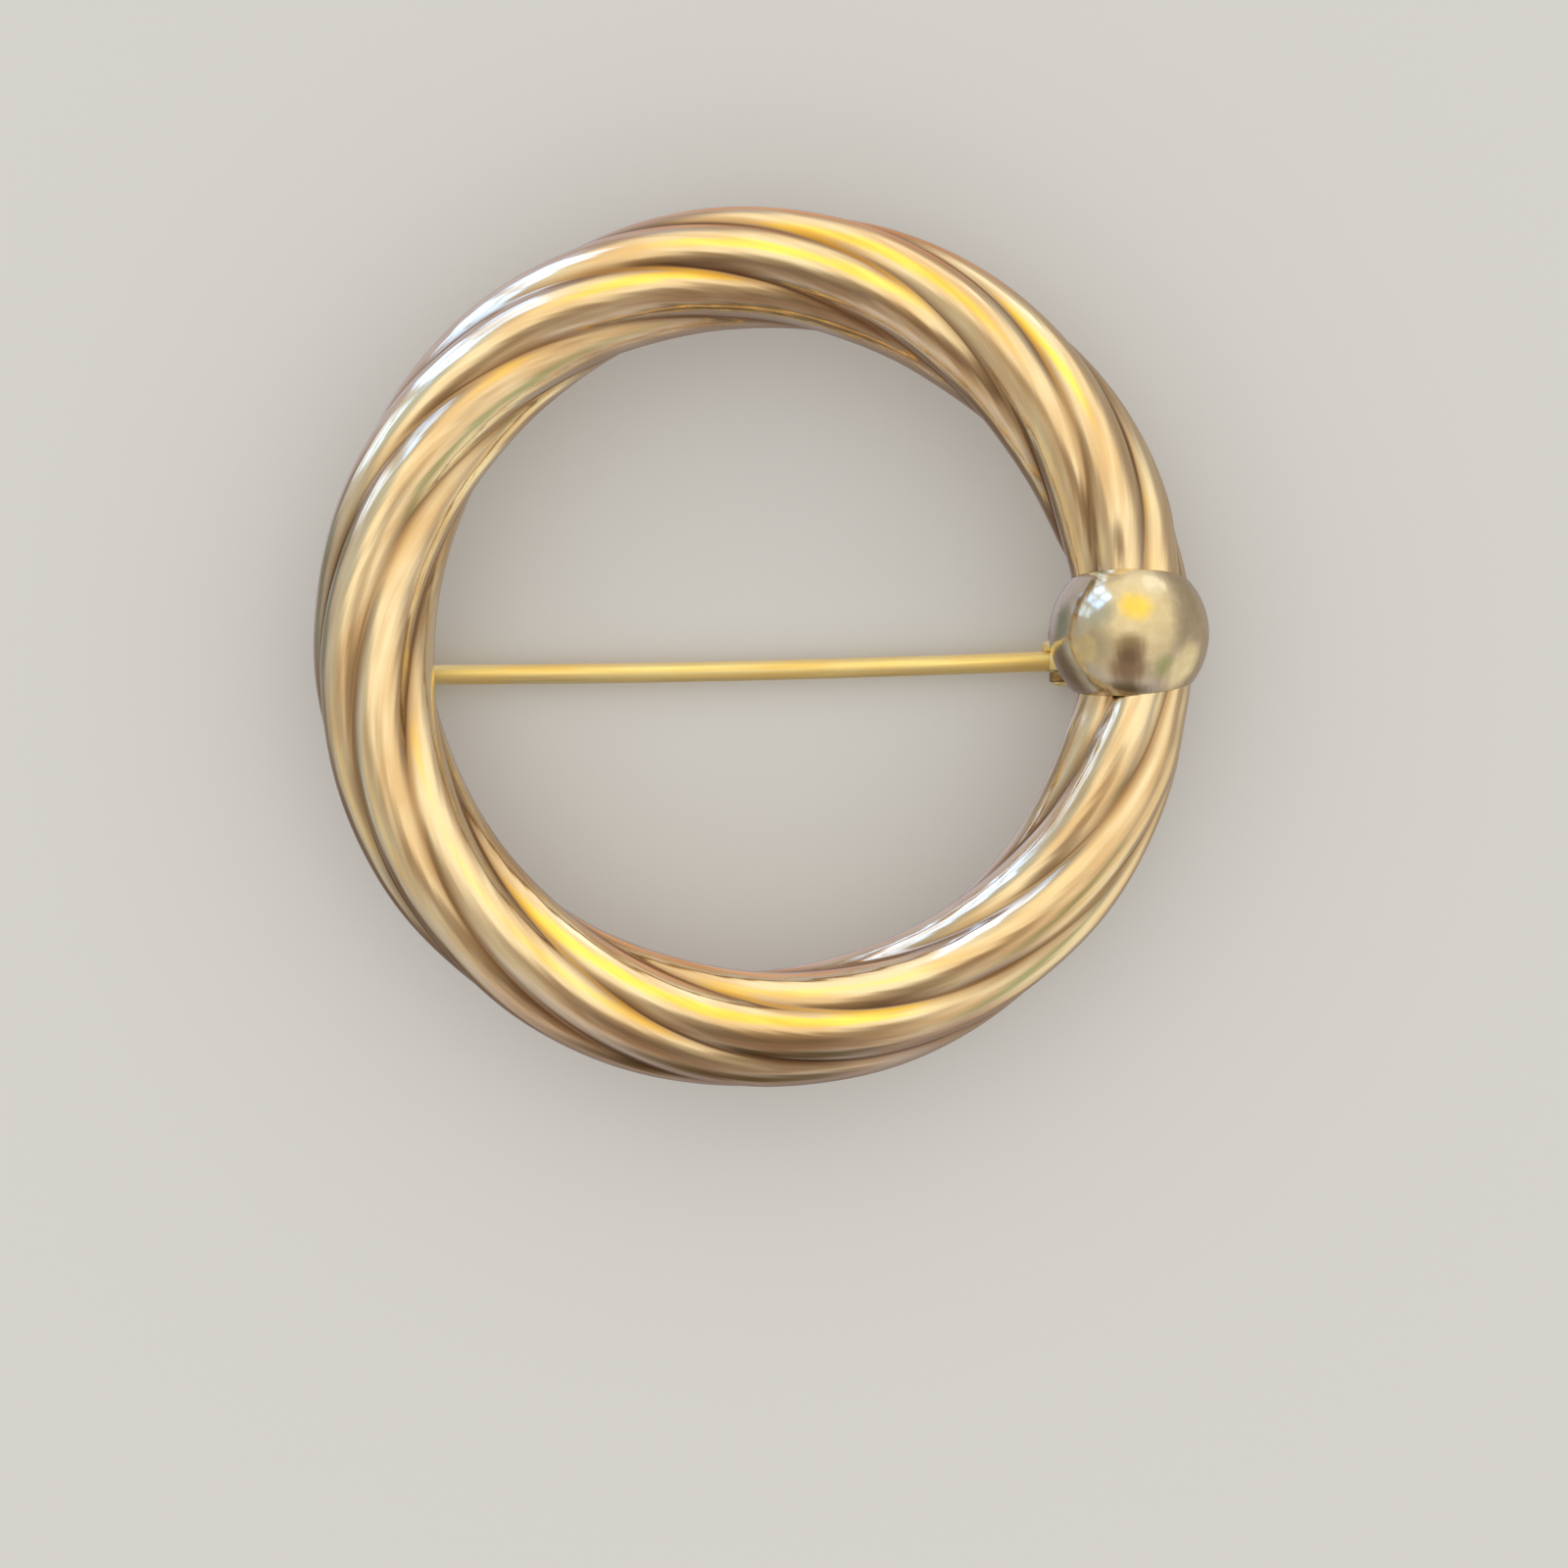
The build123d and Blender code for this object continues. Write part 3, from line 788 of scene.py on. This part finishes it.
def soft_room(wash, boards, mirrored_strength, plain_colour, plain_strength):
    """World light. wash holds (sine of height, colour) steps. A board is (azimuth, elevation,
    radius, soft edge, colour, gain): inside its radius its colour times its gain, outside nothing.
    Polished surfaces see the wash and boards at mirrored_strength, and all else sees plain_colour
    at plain_strength."""
    world = bpy.data.worlds.new("soft_room")
    world.use_nodes = True
    tree = world.node_tree
    tree.nodes.clear()
    way = add_node(tree, "ShaderNodeTexCoord").outputs["Generated"]
    height = add_node(tree, "ShaderNodeSeparateXYZ", {0: way}).outputs["Z"]
    share = add_node(tree, "ShaderNodeMapRange", {"Value": height, "From Min": -1.0, "From Max": 1.0})
    ramp = add_node(tree, "ShaderNodeValToRGB", {"Fac": share.outputs["Result"]})
    while len(ramp.color_ramp.elements) < len(wash):
        ramp.color_ramp.elements.new(0.5)
    for element, (sine, hex_colour) in zip(ramp.color_ramp.elements, wash):
        element.position, element.color = (sine + 1) / 2, linear(hex_colour)
    colour = ramp.outputs["Color"]
    for azimuth, elevation, radius, edge, hex_colour, gain in boards:
        near = add_node(tree, "ShaderNodeVectorMath", {
            0: way, 1: direction(azimuth, elevation),
        }, operation="DOT_PRODUCT")
        inside = add_node(tree, "ShaderNodeMapRange", {
            "Value": near.outputs["Value"], "From Min": math.cos(math.radians(radius + edge)),
            "From Max": math.cos(math.radians(max(radius - edge, 0))),
        }, interpolation_type="SMOOTHSTEP")
        lit = tuple(c * gain for c in linear(hex_colour)[:3]) + (1.0,)
        colour = add_node(tree, "ShaderNodeMix", {
            0: inside.outputs["Result"], 6: colour, 7: lit,
        }, data_type="RGBA").outputs[2]
    mirrored = add_node(tree, "ShaderNodeBackground", {
        "Color": colour, "Strength": mirrored_strength,
    })
    plain = add_node(tree, "ShaderNodeBackground", {
        "Color": linear(plain_colour), "Strength": plain_strength,
    })
    glossy = add_node(tree, "ShaderNodeLightPath").outputs["Is Glossy Ray"]
    both = add_node(tree, "ShaderNodeMixShader", {
        0: glossy, 1: plain.outputs[0], 2: mirrored.outputs[0],
    })
    add_node(tree, "ShaderNodeOutputWorld", {"Surface": both.outputs[0]})
    return world


# %% [markdown]
# The boards are placed by the ball, which is a small map of the room: a place that lies a share s
# of its radius from its middle mirrors what stands 90 degrees less twice the arcsine of s above
# the table. The first board is a broad warm ceiling, the brown ones in front give the flutes their
# shaded sides, and the last two are a white and a yellow lamp. A later board covers an earlier one.

# %% The wash and the boards
# sine of the height, colour
WASH = [
    (-1.0, "#807678"), (-0.5, "#989096"), (-0.1, "#B8B0BA"), (0.2, "#C8C0C2"), (0.6, "#D6CAB8"),
    (0.9, "#F0E2D0"), (1.0, "#F2E4D2"),
]
# azimuth, elevation, radius, soft edge in degrees, colour, gain
BOARDS = [
    (80, 45, 50, 40, "#FFF3DA", 1.06),
    (5, -28, 42, 25, "#A89E94", 1.0),
    (110, -32, 24, 20, "#ACA4AC", 1.0),
    (150, 28, 18, 16, "#BCBEBA", 1.0),
    (200, 36, 16, 18, "#B8AE9E", 1.0),
    (195, -18, 30, 22, "#B2B0B0", 1.0),
    (125, -45, 26, 20, "#BCB8CA", 1.0),
    (170, -30, 12, 12, "#7E8484", 1.0),
    (210, -42, 16, 14, "#6E625C", 1.0),
    (200, 13, 9, 10, "#CCC0A4", 1.0),
    (262, 66, 17, 14, "#96836F", 1.0),
    (264, 36, 18, 14, "#8A7468", 1.0),
    (262, 55, 9, 8, "#766457", 1.0),
    (266, -5, 15, 13, "#5A4E3E", 1.0),
    (316, 18, 9, 12, "#A8AE90", 1.0),
    (330, -12, 19, 14, "#EFE6D0", 1.0),
    (80, -42, 12, 14, "#CFA78E", 1.0),
    (63, 7, 11, 4, "#FBF8F0", 1.25),
    (79, 50, 15, 13, "#FFE474", 1.45),
]
MIRRORED_STRENGTH, PLAIN_STRENGTH, PLAIN_WHITE = 1.14, 1.0, "#FAF9F7"
# The Standard transform shows each colour as it was measured, without a film curve over it.
bpy.context.scene.view_settings.view_transform = "Standard"
bpy.context.scene.world = soft_room(
    WASH, BOARDS, MIRRORED_STRENGTH, PLAIN_WHITE, PLAIN_STRENGTH,
)
print("boards in the room", len(BOARDS))

# %% [markdown]
# Two windows low on the left, of a cool blue that leaves the gold nearly white. They could be
# boards too, but a flute is a long thin mirror that stretches a window into a streak, and only
# panes with bars between them break that streak. Area lights give them their crisp edges.

# %% Windows
def panel(name, azimuth, elevation, width, height, radiance, colour, distance=300):
    """A rectangular light in a direction from the brooch, its width and height in degrees. Its
    power is radiance times area times pi, so that panes of any size look equally bright."""
    data = bpy.data.lights.new(name, "AREA")
    size = [2 * distance * math.tan(math.radians(d) / 2) * MM for d in (width, height)]
    data.shape, data.size, data.size_y = "RECTANGLE", *size
    data.energy, data.color = radiance * size[0] * size[1] * math.pi, linear(colour)[:3]
    light = bpy.data.objects.new(name, data)
    bpy.context.scene.collection.objects.link(light)
    light.location = [c * distance * MM for c in direction(azimuth, elevation)]
    tilt, heading = math.radians(elevation), math.radians(azimuth)
    light.rotation_euler = (math.pi / 2 - tilt, 0, heading + math.pi / 2)
    light.visible_camera = False
    light.visible_diffuse = False


def window(name, azimuth, elevation, width, height, columns, rows, bar, radiance, colour):
    """A grid of panels, with bar degrees between neighbours."""
    wide, tall = (width + bar) / columns, (height + bar) / rows
    for i in range(columns):
        for j in range(rows):
            at = azimuth + (i - (columns - 1) / 2) * wide, elevation + (j - (rows - 1) / 2) * tall
            panel(f"{name}_pane_{i}_{j}", *at, wide - bar, tall - bar, radiance, colour)


BAR_DEG = 3.4
window("near_window", 127, 9, 25, 46, 2, 3, BAR_DEG, radiance=2.9, colour="#80B0FF")
window("far_window", 151, 6, 12, 36, 1, 3, BAR_DEG, radiance=1.6, colour="#9CC0F8")
print("window panes", len(bpy.data.lights))

# %% [markdown]
# The camera looks straight down, as in the photograph, and is turned by a little over a degree.
# 25.74 of the photograph's pixels make a millimetre at the ring's height, and the picture's middle
# lies below and right of the ring. Moving the camera there keeps its lens unshifted.

# %% Camera
PHOTO_PX, SENSOR_MM = 1600, 36.0
PX_PER_MM, CAMERA_DISTANCE, ROLL_DEG = 25.74, 140.0, 1.2
roll = math.radians(ROLL_DEG)
right = np.array([math.cos(roll), -math.sin(roll), 0])
up = np.array([math.sin(roll), math.cos(roll), 0])
RING_AT = (770, 661)  # the ring's centre in the photograph
aim = np.array([-MIDDLE_X, 0, TUBE_Z])
middle = PHOTO_PX / 2
aim = aim + right * (middle - RING_AT[0]) / PX_PER_MM + up * (RING_AT[1] - middle) / PX_PER_MM
camera_data = bpy.data.cameras.new("camera")
camera_data.sensor_width = SENSOR_MM
camera_data.lens = SENSOR_MM * CAMERA_DISTANCE / (PHOTO_PX / PX_PER_MM)
camera_data.clip_start, camera_data.clip_end = 0.005, 10.0
camera = bpy.data.objects.new("camera", camera_data)
bpy.context.scene.collection.objects.link(camera)
camera.location = ((aim + np.array([0, 0, CAMERA_DISTANCE])) * MM).tolist()
camera.rotation_euler = (0, 0, -roll)
bpy.context.scene.camera = camera
print("lens", round(camera_data.lens, 1), "mm")

# %% [markdown]
# Looks must not change the brooch's size, so the CAD's box and the finished brooch's box are
# printed side by side, in millimetres. They could be compared by eye in the viewport, but
# hundredths of a millimetre don't show there.

# %% Sizes out
bpy.context.view_layer.update()
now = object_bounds()
for label, box in (("cad", cad_box), ("visual", now)):
    print(label, "box in mm", [round(c / MM, 2) for corner in box for c in corner])
